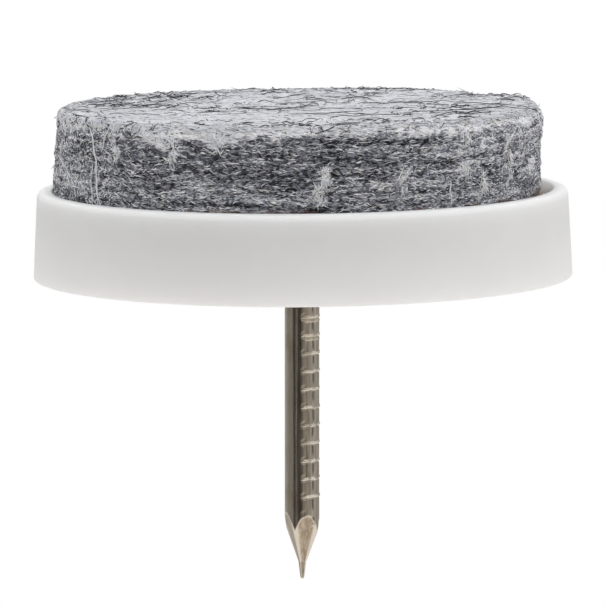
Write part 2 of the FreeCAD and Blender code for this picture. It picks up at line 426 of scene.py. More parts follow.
# those of the pale layer: mean shade and spread, with painted light over the edge, with some dark ones among
# them
PALE_SIDE_SHADE = (0.82, 0.05)
PALE_SIDE_PAINTED_LIGHT = 0.14
PALE_SIDE_EDGE_HEIGHTS = (0.05, 0.5)
PALE_SIDE_PEPPER = 0.07
PALE_SIDE_PEPPER_MORE = 0.07
PALE_SIDE_PEPPER_SHADES = (0.15, 0.45)
# how far the face's fibres reach, and how much thicker its dark hairs lie towards -X
FACE_REACH = FELT_FLAT + FELT_EDGE_RUN * 1.1
FACE_OVERHANG = 0.3
DARK_INSET = 0.6
DARK_REACH = FACE_REACH - 0.35
DARK_SPREAD = 1.5
SPECK_SPREAD = 1.4
CLUSTER_GATHER = 0.9
HAIR_LEAN = 0.4
# lift of the face's fibres off the skin, dip of their ends, and arches of the dark ones
PALE_FACE_LIFTS = (-0.02, 0.02)
PALE_FACE_DIPS = (0.0, 0.04)
DARK_LIFTS = (0.0, 0.05)
DARK_ARCHES = (1.0, 2.2)
DARK_ARCH_HEIGHTS = (0.01, 0.09)
SPECK_LENGTHS = (0.15, 0.6)
SPECK_LIFTS = (0.0, 0.05)
SPECK_DIP = 0.03
# their shades: mean and spread with limits, or from and to
PALE_FACE_SHADE = (0.80, 0.035)
PALE_FACE_SHADE_LIMITS = (0.6, 1.0)
DARK_SHADES = (0.06, 0.32)
SPECK_SHADES = (0.12, 0.5)
# stray hairs: turn of the clump in degrees and its scatter, how far in from the edge it stands
STRAY_CLUMP_TURN = 46.0
STRAY_CLUMP_SCATTER = 0.10
STRAY_CLUMP_INSET = 3.2
STRAY_CLUMP_DEPTH = 1.2
STRAY_SINGLE_INSET = 2.0
STRAY_SINGLE_HIGHEST = 4.6
# lengths, rises and shades of the hairs in the clump and of the single ones
STRAY_LENGTHS = ((0.8, 2.6), (0.25, 0.9))
STRAY_RISES = ((0.05, 0.40), (0.05, 0.28))
STRAY_SHADES = ((0.08, 0.28), (0.2, 0.9))
STRAY_UPTURN = 1.5
# thickness of a fibre off the skin against its width, its sides and the share of its width that its ends keep
FIBRE_FLATNESS = 0.6
FIBRE_SIDES = 3
FIBRE_END = 0.35
# kinks along a fibre, from and to
FIBRE_WAVES = (1.0, 2.5)
# empty border of a fibre's cell on its map
CELL_MARGIN = 0.1


# Shader sockets and nodes

class Wire:
    """A shader socket to reckon with: arithmetic on it adds Math nodes."""

    def __init__(self, finish, socket):
        self.finish = finish
        self.socket = socket

    def math(self, operation, *values):
        return self.finish.node("ShaderNodeMath", {"operation": operation}, dict(enumerate(values)))

    def __add__(self, other):
        return self.math("ADD", self, other)

    def __radd__(self, other):
        return self.math("ADD", other, self)

    def __sub__(self, other):
        return self.math("SUBTRACT", self, other)

    def __rsub__(self, other):
        return self.math("SUBTRACT", other, self)

    def __mul__(self, other):
        return self.math("MULTIPLY", self, other)

    def __rmul__(self, other):
        return self.math("MULTIPLY", other, self)

    def __truediv__(self, other):
        return self.math("DIVIDE", self, other)

    def __rtruediv__(self, other):
        return self.math("DIVIDE", other, self)


class Finish:
    """The node tree of a material or of the world."""

    def __init__(self, owner):
        owner.use_nodes = True
        self.tree = owner.node_tree
        self.tree.nodes.clear()

    def feed(self, socket, value):
        if isinstance(value, Wire):
            self.tree.links.new(value.socket, socket)
        elif socket.type == "RGBA" and len(value) == 3:
            socket.default_value = (*value, 1.0)
        else:
            socket.default_value = value

    def node(self, kind, settings=None, sockets=None, output=0):
        """Add a node: its settings first, then the values or links of its sockets."""
        made = self.tree.nodes.new(kind)
        for name, value in (settings or {}).items():
            if name == "stops":
                self.set_stops(made.color_ramp.elements, value)
            else:
                setattr(made, name, value)
        for key, value in (sockets or {}).items():
            self.feed(made.inputs[key], value)
        return Wire(self, made.outputs[output])

    def set_stops(self, elements, stops):
        while len(elements) < len(stops):
            elements.new(1.0)
        for element, (place, colour) in zip(elements, stops):
            element.position = place
            element.color = (*colour, 1.0)

    def place(self, stretch=(1.0, 1.0, 1.0)):
        """Where a point lies on the part, in millimetres, with each axis stretched."""
        place = self.node("ShaderNodeTexCoord", output="Object")
        scale = tuple(s / MM for s in stretch)
        return self.node("ShaderNodeVectorMath", {"operation": "MULTIPLY"}, {0: place, 1: scale})

    def parts(self, vector):
        split = self.node("ShaderNodeSeparateXYZ", sockets={0: vector}).socket.node
        return [Wire(self, socket) for socket in split.outputs]

    def noise(self, vector, scale, detail, roughness=0.5):
        return self.node("ShaderNodeTexNoise", sockets={
            "Vector": vector, "Scale": scale, "Detail": detail, "Roughness": roughness})

    def between(self, value, low, high, to_low=0.0, to_high=1.0):
        """Value eased from one range to another."""
        return self.node("ShaderNodeMapRange", {"interpolation_type": "SMOOTHSTEP"}, {
            "Value": value, "From Min": low, "From Max": high,
            "To Min": to_low, "To Max": to_high})

    def ramp(self, value, stops):
        """Colour at a value, between the colours of its stops."""
        return self.node("ShaderNodeValToRGB", {"stops": stops}, {0: value})

    def blend(self, share, first, second, blend_type="MIX"):
        """Colour between two colours."""
        return self.node("ShaderNodeMix", {"data_type": "RGBA", "blend_type": blend_type},
                         {0: share, 6: first, 7: second}, output=2)

    def mark(self, name):
        """Number that the mesh keeps at each of its points."""
        return self.node("ShaderNodeAttribute", {"attribute_name": name}, output="Fac")

    def bump(self, height, strength, distance):
        return self.node("ShaderNodeBump", sockets={
            "Height": height, "Strength": strength, "Distance": distance * MM})

    def surface(self, shader, output="ShaderNodeOutputMaterial"):
        end = self.tree.nodes.new(output)
        self.tree.links.new(shader.socket, end.inputs["Surface"])


def grey(level):
    return (level, level, level)


# Materials

def satin_plastic():
    """Moulded white plastic: nearly even, with faint flow clouds and a fine satin grain."""
    material = bpy.data.materials.new("satin_white_plastic")
    f = Finish(material)
    clouds = f.noise(f.place(), 0.22, 3.0)
    grain = f.noise(f.place(), 9.0, 2.0)
    f.surface(f.node("ShaderNodeBsdfPrincipled", sockets={
        "Base Color": f.blend(f.between(clouds, 0.35, 0.65), (0.815, 0.810, 0.803), (0.83, 0.827, 0.822)),
        "Roughness": f.between(grain, 0.3, 0.7, 0.40, 0.48),
        "Normal": f.bump(grain, 0.12, 0.01),
        "Specular IOR Level": 0.4,
        "Subsurface Weight": 1.0,
        "Subsurface Radius": (1.0, 0.97, 0.93),
        "Subsurface Scale": 2.0 * MM,
    }))
    return material


def drawn_steel():
    """Bright drawn wire with a warm film: pressed and scratched on the ridged side, sheared at the point,
    with painted highlights on the ridge crests, a band of the pressed side, a flake and the facets, and
    painted shade in the slits and a spot on the nib.
    """
    material = bpy.data.materials.new("drawn_nail_steel")
    f = Finish(material)
    # the crest mark carries painted highlights: ridge crests, a band of the pressed side, the flake and the
    # facets' rims and strips
    crest, pressed, sheared, scored = (f.mark(name) for name in ("crest", "pressed", "sheared", "scored"))
    streaks = f.noise(f.place((1.0, 1.0, 0.04)), 9.0, 4.0, 0.65)
    stains = f.noise(f.place((1.0, 1.0, 0.5)), 1.6, 3.0)
    worn = f.blend(f.between(streaks, 0.3, 0.7), (0.415, 0.354, 0.278), (0.545, 0.479, 0.392))
    filmed = f.blend(f.between(stains, 0.45, 0.7, 0.0, 0.5), worn, (0.32, 0.25, 0.18))
    grooves = f.noise(f.place((1.0, 1.0, 0.07)), 7.0, 4.0, 0.75)
    grooved = f.blend(f.between(grooves, 0.36, 0.64), (0.130, 0.105, 0.077), (0.450, 0.379, 0.290))
    duller = f.blend(pressed * 0.8, filmed, grooved)
    shear_lines = f.noise(f.place((1.0, 1.0, 0.10)), 6.0, 3.0, 0.7)
    torn = f.blend(f.between(shear_lines, 0.32, 0.68), (0.335, 0.258, 0.178), (0.51, 0.430, 0.335))
    cut = f.blend(sheared * 0.9, duller, torn)
    rough = f.between(streaks, 0.3, 0.7, 0.13, 0.19) + pressed * 0.14 + sheared * 0.14 + crest * 0.15
    f.surface(f.node("ShaderNodeBsdfPrincipled", sockets={
        # painted shade darkens the slits and the nib spot; the crest mark lays a painted highlight colour
        # over all
        "Base Color": f.blend(crest, f.blend(scored, cut, (0.12, 0.105, 0.09)), (0.86, 0.80, 0.69)),
        "Metallic": 1.0,
        "Roughness": rough,
        "Normal": f.bump(streaks, 0.3, 0.02),
    }))
    return material


def amber_glue():
    """Hot-melt glue: brown amber, uneven in depth, with a soft shine."""
    material = bpy.data.materials.new("amber_glue")
    f = Finish(material)
    depth = f.noise(f.place(), 1.4, 3.0)
    ripples = f.noise(f.place(), 3.5, 2.0)
    f.surface(f.node("ShaderNodeBsdfPrincipled", sockets={
        "Base Color": f.blend(f.between(depth, 0.3, 0.7), (0.30, 0.19, 0.135), (0.52, 0.40, 0.33)),
        "Roughness": f.between(ripples, 0.3, 0.7, 0.25, 0.45),
        "Normal": f.bump(ripples, 0.4, 0.05),
    }))
    return material


def felt_dye(f, shade):
    """Felt colour from black through grey to off-white, a little cooler or warmer, brown with glue."""
    dyed = f.ramp(shade, [
        (0.00, (0.010, 0.010, 0.011)),
        (0.25, (0.060, 0.061, 0.068)),
        (0.50, (0.193, 0.200, 0.234)),
        (0.75, (0.430, 0.434, 0.465)),
        (1.00, (0.900, 0.900, 0.920)),
    ])
    tint = f.ramp(f.noise(f.place(), 2.4, 1.0), [
        (0.36, (0.95, 0.975, 1.00)),
        (0.50, (0.99, 0.99, 0.99)),
        (0.64, (1.00, 0.985, 0.965)),
    ])
    tinted = f.blend(1.0, dyed, tint, "MULTIPLY")
    return f.blend(f.mark("glue") * 0.75, tinted, (0.13, 0.070, 0.050))


def felt_batt():
    """Needled felt between the single fibres: each place has its own mean shade and grain, with painted shade
    under the fibres and painted light on the pale layer over the edge.
    """
    material = bpy.data.materials.new("grey_felt_batt")
    f = Finish(material)
    layered = f.place((1.0, 1.0, 3.0))
    specks = f.noise(layered, 5.5, 3.0, 0.7)
    matted = f.noise(f.place(), 3.2, 4.0, 0.65)
    mottle = f.between(specks * 0.6 + matted * 0.4, 0.38, 0.62) - 0.5
    shade = f.mark("shade") + mottle * f.mark("grain")
    f.surface(f.node("ShaderNodeBsdfPrincipled", sockets={
        "Base Color": felt_dye(f, shade),
        "Roughness": 0.95,
        "Specular IOR Level": 0.1,
        "Normal": f.bump(specks * 0.6 + matted * 0.4, 0.6, 0.08),
    }))
    return material


def felt_fibre():
    """Single felt fibres, each dyed its own shade."""
    material = bpy.data.materials.new("felt_fibre")
    f = Finish(material)
    patchy = f.noise(f.place(), 2.6, 2.0)
    f.surface(f.node("ShaderNodeBsdfPrincipled", sockets={
        "Base Color": felt_dye(f, f.mark("shade") + (patchy - 0.5) * 0.12),
        "Roughness": 0.75,
        "Specular IOR Level": 0.2,
    }))
    return material


# Mesh building

def mesh_piece(name, points, faces, material):
    """A shown piece on the root body from points in millimetres and faces as arrays of corners."""
    mesh = bpy.data.meshes.new(name)
    corners = np.concatenate([group.ravel() for group in faces])
    sides = np.concatenate([np.full(len(group), group.shape[1]) for group in faces])
    mesh.vertices.add(len(points))
    mesh.vertices.foreach_set("co", (points * MM).astype(np.float32).ravel())
    mesh.loops.add(len(corners))
    mesh.loops.foreach_set("vertex_index", corners.astype(np.int32))
    mesh.polygons.add(len(sides))
    mesh.polygons.foreach_set("loop_start", (np.cumsum(sides) - sides).astype(np.int32))
    mesh.polygons.foreach_set("use_smooth", np.ones(len(sides), bool))
    mesh.update(calc_edges=True)
    mesh.validate()
    mesh.materials.append(material)
    piece = bpy.data.objects.new(name, mesh)
    bpy.context.scene.collection.objects.link(piece)
    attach(piece, "root")
    return piece


def band_faces(rows, columns):
    """Quads between the rings of a closed band, ring after ring."""
    row = np.arange(rows - 1)[:, None] * columns
    column = np.arange(columns)[None, :]
    following = (column + 1) % columns
    quads = np.stack([row + column, row + following, row + columns + following, row + columns + column], -1)
    return quads.reshape(-1, 4)


def lofted(name, rings, material):
    """Closed skin over rings of points, with a middle point closing each end."""
    rows, columns, _ = rings.shape
    poles = np.stack([rings[0].mean(0), rings[-1].mean(0)])
    points = np.concatenate([rings.reshape(-1, 3), poles])
    first = np.arange(columns)
    following = (first + 1) % columns
    last = (rows - 1) * columns
    start_pole = np.full(columns, rows * columns)
    start_cap = np.stack([following, first, start_pole], -1)
    end_cap = np.stack([last + first, last + following, start_pole + 1], -1)
    return mesh_piece(name, points, [band_faces(rows, columns), start_cap, end_cap], material)


def rounded_outline(corners):
    """Closed outline in which each (radius, height, rounding) corner becomes a tangent arc."""
    points = []
    places = np.array([corner[:2] for corner in corners])
    for i, (_, _, rounding) in enumerate(corners):
        corner = places[i]
        if rounding == 0:
            points.append(corner)
            continue
        before = places[i - 1] - corner
        after = places[(i + 1) % len(places)] - corner
        before /= np.linalg.norm(before)
        after /= np.linalg.norm(after)
        half = math.acos(np.dot(before, after)) / 2
        middle = before + after
        middle *= rounding / math.sin(half) / np.linalg.norm(middle)
        start = before * rounding / math.tan(half) - middle
        end = after * rounding / math.tan(half) - middle
        sweep = math.pi - 2 * half
        for step in range(ROUND_STEPS + 1):
            share = step / ROUND_STEPS
            ray = start * math.sin((1 - share) * sweep) + end * math.sin(share * sweep)
            points.append(corner + middle + ray / math.sin(sweep))
    return np.array(points)


def wrapped_noise(u, v, around, seed):
    """Smooth noise from -1 to 1 on unit cells; u closes on itself after the given number of cells."""
    depth = 97  # cells along v before the noise repeats
    table = np.random.default_rng(seed).uniform(-1.0, 1.0, (around, depth))
    column, row = np.floor(u).astype(int), np.floor(v).astype(int)
    across, along = u - column, v - row
    across = across * across * (3 - 2 * across)
    along = along * along * (3 - 2 * along)
    near, far = column % around, (column + 1) % around
    low, high = row % depth, (row + 1) % depth
    first = table[near, low] * (1 - across) + table[far, low] * across
    second = table[near, high] * (1 - across) + table[far, high] * across
    return first * (1 - along) + second * along


def eased(value, low, high):
    """Share from 0 at the low value to 1 at the high one, with soft ends."""
    share = np.clip((value - low) / (high - low), 0.0, 1.0)
    return share * share * (3 - 2 * share)


def turned_by(turn, place):
    """Signed angle from a place to a turn."""
    return (turn - place + math.pi) % TAU - math.pi


def add_mark(piece, name, values):
    """Number kept at each point of a piece for its material to read."""
    mark = piece.data.attributes.new(name, "FLOAT", "POINT")
    mark.data.foreach_set("value", np.asarray(values, np.float32).ravel())


def off_azimuth(turn, azimuth, half_width):
    """How far a turn lies from a photo azimuth, in half widths."""
    return turned_by(turn, photo_turn(azimuth)) / half_width


def bell(*offs):
    """Share that falls smoothly from 1 where all offsets are nothing."""
    return np.exp(-sum(off ** 2 for off in offs))


def ring_noise(turn, along, cells, seed):
    """Smooth noise round the glide, with so many cells in a turn."""
    return wrapped_noise(turn / TAU * cells, along, cells, SEED + seed)


def face_noise(turn, radius, cell, start, cells, seed):
    """Smooth noise over the floor face, in square cells of a size, counted from a start."""
    x, y = radius * np.cos(turn), radius * np.sin(turn)
    return wrapped_noise(x / cell + start, y / cell + start, cells, SEED + seed)


# Plastic cup

def make_cup(material):
    """Cup turned from its outline: flat face and hole, side, rim, recess and the seat of the nail's head."""
    seat_z = RECESS_FLOOR_Z + SEAT_DEPTH
    outline = rounded_outline([
        (HOLE_MOUNT_RADIUS, MOUNT_Z, HOLE_EDGE_ROUND),
        (BASE_RADIUS, MOUNT_Z, BASE_EDGE_ROUND),
        (RIM_RADIUS, RIM_Z, RIM_OUTER_ROUND),
        (RECESS_RADIUS, RIM_Z, RIM_INNER_ROUND),
        (RECESS_RADIUS, RECESS_FLOOR_Z, RECESS_CORNER_ROUND),
        (BORE_RADIUS, RECESS_FLOOR_Z, BORE_EDGE_ROUND),
        (BORE_RADIUS, seat_z, BORE_EDGE_ROUND),
        (HOLE_SEAT_RADIUS, seat_z, 0),
    ])
    turn = np.arange(CUP_SEGMENTS) * TAU / CUP_SEGMENTS
    radius, height = outline[:, 0][:, None], outline[:, 1][:, None]
    rings = np.stack([radius * np.cos(turn), radius * np.sin(turn), height + 0 * turn], -1)
    rows = len(outline)
    quads = band_faces(rows + 1, CUP_SEGMENTS) % (rows * CUP_SEGMENTS)
    cup = mesh_piece("cup", rings.reshape(-1, 3), [quads[:, ::-1]], material)
    flats = cup.modifiers.new("flat faces stay flat", "WEIGHTED_NORMAL")
    flats.weight = FLAT_WEIGHT
    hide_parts("base_cup")


# Nail

def facet_distance(height):
    """How far the four facets of the point lie from the axis at a height."""
    down = (height - FACET_Z) / (NIB_Z - FACET_Z)
    along_nib = (height - NIB_Z) / (TIP_Z - NIB_Z)
    facet = SHANK_RADIUS + (NIB_ROOT - SHANK_RADIUS) * down
    nib = NIB_ROOT + (NIB_TIP - NIB_ROOT) * np.clip(along_nib, 0, 1)
    into_round = ((height - TIP_Z + NIB_ROUND) / NIB_ROUND).clip(0, 1)
    rounded = np.sqrt(np.clip(1 - into_round ** 2, NIB_END_SHARE, 1))
    return np.where(height < NIB_Z, facet, nib * rounded)


def pressed_share(turn, height):
    """Where the grip dies pressed the shank: one side of it, from the neck to the point."""
    to_ridge = (height - RIDGE_FIRST_Z) / RIDGE_PITCH
    to_ridge = np.abs(to_ridge - np.round(to_ridge)) * RIDGE_PITCH
    scallop = GRIP_SCALLOP * eased(to_ridge, *GRIP_SCALLOP_RUN)
    facing = np.cos(turn - RIDGED_SIDE) - scallop
    run_in = eased(height, NECK_END_Z, NECK_END_Z + GRIP_RUN_IN)
    return eased(facing, *GRIP_BORDER) * run_in


def ridge_share(turn, height):
    """Height of the grip ridges, thin uneven crests that droop where they start, and depth behind each."""
    facing = np.cos(turn - RIDGED_SIDE)
    place = (height - RIDGE_FIRST_Z) / RIDGE_PITCH
    number = np.clip(np.round(place), 0, RIDGE_COUNT - 1)
    droop = RIDGE_DROOP * (1 - np.clip(facing, 0.0, 1.0)) ** 3
    wander_off = RIDGE_WANDER * ring_noise(turn, number, cells=26, seed=1) + droop
    centre = RIDGE_FIRST_Z + number * RIDGE_PITCH + wander_off
    half = RIDGE_HALF_WIDTH * (1 + RIDGE_WIDTH_SPREAD * ring_noise(turn, number + 0.5, cells=34, seed=5))
    crest = 1 - eased(np.abs(height - centre), half, half + RIDGE_FLANK)
    second_half = half * DOUBLED_WIDTH
    second = 1 - eased(np.abs(height - centre - DOUBLED_OFF), second_half, second_half + RIDGE_FLANK)
    doubled = (number < DOUBLED_RIDGES) * DOUBLED_HEIGHT
    wear = eased(ring_noise(turn, number * 1.7, cells=22, seed=6), *RIDGE_WEAR)
    worn = RIDGE_WORN_TO + (1 - RIDGE_WORN_TO) * wear
    undercut = bell((height - centre - UNDERCUT_OFF) / UNDERCUT_WIDTH)
    return np.maximum(crest * worn, second * doubled), undercut


def slit_share(turn, height):
    """Depth of the slit that the dies cut past each ridge, which also sets the painted shade in it."""
    pitches = (height - RIDGE_FIRST_Z) / RIDGE_PITCH
    drift = SLIT_DRIFT * ring_noise(turn * 0, height * 0.8, cells=2, seed=7)
    off = (turned_by(turn, photo_turn(SLIT_AZIMUTH)) + drift) / SLIT_HALF_WIDTH
    past_ridge = pitches % 1.0
    end = SLIT_END + SLIT_END_SPREAD * ring_noise(turn * 0, np.floor(pitches), cells=2, seed=8)
    fade = eased(past_ridge, end - SLIT_FADE_BEFORE, end + SLIT_FADE_AFTER)
    return bell(off) * (eased(past_ridge, *SLIT_START) * (1 - fade))


def nail_rows():
    """Heights of the nail's rings from its neck to its tip, closer together on the point."""
    point_start = FACET_Z - POINT_LEAD
    shank = np.arange(NECK_END_Z, point_start - SHANK_ROW / 2, SHANK_ROW)
    point = np.arange(point_start, TIP_Z, POINT_ROW)
    return np.concatenate([shank, point, [TIP_Z - TIP_FLAT]])


def make_nail(material):
    """Nail lofted from its hidden head to its tip, marked where it is pressed or sheared, and where painted
    highlights and painted shade lie.
    """
    turn = (np.arange(NAIL_SEGMENTS) * TAU / NAIL_SEGMENTS)[None, :]
    rows = nail_rows()[:, None]
    turns = turn + 0 * rows
    heights = rows + 0 * turn

    pressed = pressed_share(turns, heights)
    crest, undercut = ridge_share(turns, heights)
    crest = crest * pressed
    slit = slit_share(turns, heights)
    scratches = LAND_SCRATCHES * ring_noise(turns, heights * 0.5, cells=120, seed=3)
    burr = RIDGE_BURR * (1 + ring_noise(turns, heights * 9, cells=40, seed=2))
    land = LAND_DEPTH + UNDERCUT_DEPTH * undercut + SLIT_DEPTH * slit - scratches
    drawn = DRAWN_LINES * ring_noise(turns, heights * 0.15, cells=90, seed=4)
    radius = SHANK_RADIUS + drawn + burr * crest - land * pressed * (1 - crest)

    flake_side = off_azimuth(turns, FLAKE_AZIMUTH, FLAKE_HALF_TURN)
    flake = bell(flake_side, (heights - FACET_Z - FLAKE_ALONG) / FLAKE_HALF_LENGTH)
    facet_turn = TAU / FACET_COUNT
    off_facet = (turns - FACET_FIRST + facet_turn / 2) % facet_turn - facet_turn / 2
    facet = facet_distance(heights) / np.cos(off_facet)
    sheared = np.where(facet < radius, 1.0, 0.0)
    across = -np.tan(off_facet)
    # painted highlights on the sheared facets: along their rim and in a strip along each side
    rim = FACET_RIM_PAINTED_HIGHLIGHT * bell((radius - facet) / FACET_RIM_HIGHLIGHT_WIDTH)
    (ahead_from, ahead_to, ahead_shine), (behind_from, behind_to, behind_shine) = FACET_PAINTED_HIGHLIGHT_STRIPS
    ahead = ahead_shine * eased(across, ahead_from, ahead_to)
    behind = behind_shine * eased(-across, behind_from, behind_to)
    facet_painted_highlight = sheared * np.maximum(rim, np.maximum(ahead, behind))
    radius = np.minimum(radius, facet) + FLAKE_HEIGHT * flake
    # painted highlight along a band of the pressed side and on the ridge crests
    painted_sheen_band = bell(off_azimuth(turns, PAINTED_SHEEN_AZIMUTH, PAINTED_SHEEN_HALF_WIDTH)) * pressed
    shank_painted_highlight = np.maximum(crest * CREST_PAINTED_HIGHLIGHT, painted_sheen_band * PAINTED_SHEEN_SHARE * (1 - slit)) * (1 - sheared)
    painted_highlight = np.maximum(shank_painted_highlight, np.maximum(flake, facet_painted_highlight))
    # painted shadow spot on the nib, and painted shade in the slits, kept off the painted highlights
    nib_side = off_azimuth(turns, NIB_SHADOW_AZIMUTH, NIB_SHADOW_HALF_TURN)
    nib_painted_shadow = NIB_SHADOW_SHARE * bell(nib_side, (heights - NIB_SHADOW_Z) / NIB_SHADOW_HALF_LENGTH)
    scored = np.maximum(slit * pressed * (1 - sheared), nib_painted_shadow) * (1 - painted_highlight)

    head = [
        (HEAD_MIDDLE, HEAD_Z),
        (HEAD_RADIUS - HEAD_BEVEL, HEAD_Z),
        (HEAD_RADIUS, HEAD_Z + HEAD_BEVEL),
        (HEAD_RADIUS, HEAD_Z + SEAT_DEPTH),
        (NECK_RADIUS, HEAD_Z + SEAT_DEPTH),
    ]
    radius = np.concatenate([np.array([[r] for r, _ in head]) + 0 * turn, radius])
    heights = np.concatenate([np.array([[z] for _, z in head]) + 0 * turn, heights])
    out = np.maximum(heights - MOUNT_Z, 0.0)
    lean = NAIL_LEAN * out + NAIL_SHIFT * eased(out, 0.0, NAIL_SHIFT_RUN)
    turns = turn + 0 * heights
    rings = np.stack([lean + radius * np.cos(turns), radius * np.sin(turns), heights], -1)
    nail = lofted("nail_wire", rings, material)
    plain = np.zeros(len(head) * NAIL_SEGMENTS)
    ends = np.zeros(2)
    for name, marked in (("crest", painted_highlight), ("pressed", pressed), ("sheared", sheared), ("scored", scored)):
        add_mark(nail, name, np.concatenate([plain, marked.ravel(), ends]))
    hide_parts("nail")


# Felt disc

def felt_profile(run):
    """Radius, height and outward direction of the felt's skin, at a run from the middle of its floor face."""
    over = np.clip((run - FELT_FLAT) / FELT_EDGE_ROUND, 0.0, math.pi / 2)
    radius = np.minimum(run, FELT_FLAT) + FELT_EDGE_ROUND * np.sin(over)
    height = FELT_EDGE_ROUND * (1 - np.cos(over)) + np.maximum(run - FELT_SIDE_RUN, 0.0)
    return radius, height, np.sin(over), -np.cos(over)


def side_run(height):
    """Run of the felt's skin to a height on its side."""
    over = np.arccos(np.clip(1 - height / FELT_EDGE_ROUND, 0.0, 1.0))
    return FELT_FLAT + FELT_EDGE_ROUND * over + np.maximum(height - FELT_EDGE_ROUND, 0.0)


def felt_swell(turn, run):
    """Slow unevenness of the felt's skin, its corner, a dent and a lip in its edge, and its waist."""
    radius, height, out, _ = felt_profile(run)
    face = face_noise(turn, radius, cell=4.5, start=40, cells=97, seed=11)
    side = ring_noise(turn, height / 2.2, cells=30, seed=12)
    swell = FELT_SWELL * (face * (1 - out) + side * out)
    to_corner = (run - FELT_FLAT - FELT_EDGE_RUN / 2) / FELT_CORNER_RUN
    to_brim = (run - FELT_FLAT - FELT_EDGE_RUN / 3) / FELT_BRIM_RUN
    full = FELT_CORNER_FULL * np.maximum(np.cos(turn), 0.0) * bell(to_brim)
    worn = FELT_CORNER_WORN * np.maximum(-np.cos(turn), 0.0) * bell(to_corner)
    azimuth, half_width, depth = FELT_DENT
    dent = depth * bell(off_azimuth(turn, azimuth, half_width), to_corner / FELT_DENT_RUN)
    azimuth, half_width, depth = FELT_LIP
    lip = depth * bell(off_azimuth(turn, azimuth, half_width), to_corner)
    azimuth, half_width, depth = FELT_WAIST
    waist = depth * bell(off_azimuth(turn, azimuth, half_width)) * eased(height, *FELT_WAIST_HEIGHTS)
    return swell + full - worn + lip - dent - waist


def on_felt(turn, run, lift):
    """Points of the felt's skin, lifted off it."""
    radius, height, out, up = felt_profile(run)
    offset = felt_swell(turn, run) + lift
    radius = radius + out * offset
    height = height + up * offset
    low_share = 1 - height / RIM_Z
    across = radius * np.cos(turn) / FELT_RADIUS
    height = height + low_share * (FELT_OFF_FLOOR + FELT_TILT * (0.5 + 0.5 * across))
    radius = radius - FELT_NARROWING * np.clip(low_share, 0.0, 1.0) * out
    x = FELT_AXIS_X - FELT_LEAN * low_share + radius * np.cos(turn)
    return np.stack([x, radius * np.sin(turn), height], -1)


def felt_relief(turn, run):
    """Fine relief of the skin: clumps on the floor face, layers and lumps on the side."""
    radius, height, out, _ = felt_profile(run)
    clumps = face_noise(turn, radius, cell=0.55, start=90, cells=197, seed=13)
    layers = ring_noise(turn, height / 0.21, cells=36, seed=14)
    lumps = ring_noise(turn, height / 0.4, cells=210, seed=15)
    return FACE_CLUMPS * clumps * (1 - out) + (SIDE_LAYERS * layers + SIDE_LUMPS * lumps) * out


def pale_share(turn, height):
    """Share of the pale floor layer on the side: it reaches down in rags, least on +X."""
    rags = PALE_RAGGED * ring_noise(turn, 0 * turn, cells=64, seed=16)
    threads = PALE_THREADED * ring_noise(turn, height / 0.3, cells=330, seed=17)
    reach = PALE_REACH - PALE_REACH_LESS * np.maximum(np.cos(turn), 0.0) + rags + threads
    for azimuth, half, more in PALE_RAGS:
        off = np.degrees(turned_by(turn, photo_turn(azimuth))) / half
        reach = reach + more * bell(off)
    reach = np.maximum(reach, PALE_REACH_LEAST)
    return 1 - eased(height, reach - PALE_BORDER, reach + PALE_BORDER)


def felt_tufts():
    """All pale tufts: those that face the camera, and like ones all round the far side."""
    rng = np.random.default_rng(SEED + 33)
    tufts = list(CAMERA_SIDE_TUFTS)
    azimuths = np.linspace(*FAR_TUFT_SPAN, FAR_SIDE_TUFTS)
    for azimuth in azimuths + rng.normal(0.0, FAR_TUFT_SCATTER, FAR_SIDE_TUFTS):
        start = rng.uniform(*FAR_TUFT_STARTS)
        end = min(start + rng.uniform(*FAR_TUFT_LENGTHS), FAR_TUFT_LAST_END)
        tufts.append((azimuth, start, end, rng.uniform(*FAR_TUFT_STRENGTHS)))
    return tufts


TUFTS = felt_tufts()


def tuft_sway(number, height):
    """How far a tuft bends aside on its way up the side."""
    return -sum(width * np.sin(height * rate + phase * number) for width, rate, phase in TUFT_WAVES)


def tuft_share(turn, height):
    """How far a place on the side lies in a pale tuft."""
    share = np.zeros(np.broadcast(turn, height).shape)
    for number, (azimuth, start, end, strength) in enumerate(TUFTS):
        off = FELT_RADIUS * turned_by(turn, photo_turn(azimuth)) + tuft_sway(number, height)
        begun = eased(height, start - TUFT_FADE, start + TUFT_FADE)
        ended = eased(height, end - TUFT_FADE_BEFORE_END, end + TUFT_FADE)
        share = np.maximum(share, strength * (begun * (1 - ended)) * bell(off / TUFT_HALF_WIDTH))
    return share


def side_tone(turn, height):
    """Mean shade of the felt's side, in layers, lighter towards +X and most towards -X."""
    fine = ring_noise(turn, height / 0.17, cells=26, seed=21)
    broad = ring_noise(turn, height / 0.6, cells=14, seed=22)
    patch = ring_noise(turn, height / 0.5, cells=60, seed=23)
    lighter = SIDE_LIGHTER_PLUS_X * np.clip(np.cos(turn) * 2 - 1, 0.0, 1.0)
    lighter = lighter + SIDE_LIGHTER_MINUS_X * np.clip(-np.cos(turn) * 2 - 0.8, 0.0, 1.0)
    patchy = SIDE_PATCHES + SIDE_PATCHES_MORE * eased(-np.cos(turn), 0.1, 0.6)
    darker = SIDE_DARKER * bell(off_azimuth(turn, SIDE_DARKER_AZIMUTH, SIDE_DARKER_HALF_WIDTH))
    return SIDE_SHADE + SIDE_FINE * fine + SIDE_BROAD * broad + patchy * patch + lighter - darker


def glue_share(turn, height):
    """How far glue soaked into the foot of the felt."""
    share = np.zeros(np.broadcast(turn, height).shape)
    for azimuth, half in GLUE_SMEARS:
        off = np.degrees(np.abs(turned_by(turn, photo_turn(azimuth)))) / half
        share = np.maximum(share, 1 - eased(off, *GLUE_SMEAR_BORDER))
    creep = GLUE_CREEP * ring_noise(turn, 0 * turn, cells=90, seed=24)
    foot_low, foot_high = GLUE_FOOT
    return share * eased(height, foot_low + creep, foot_high + creep)


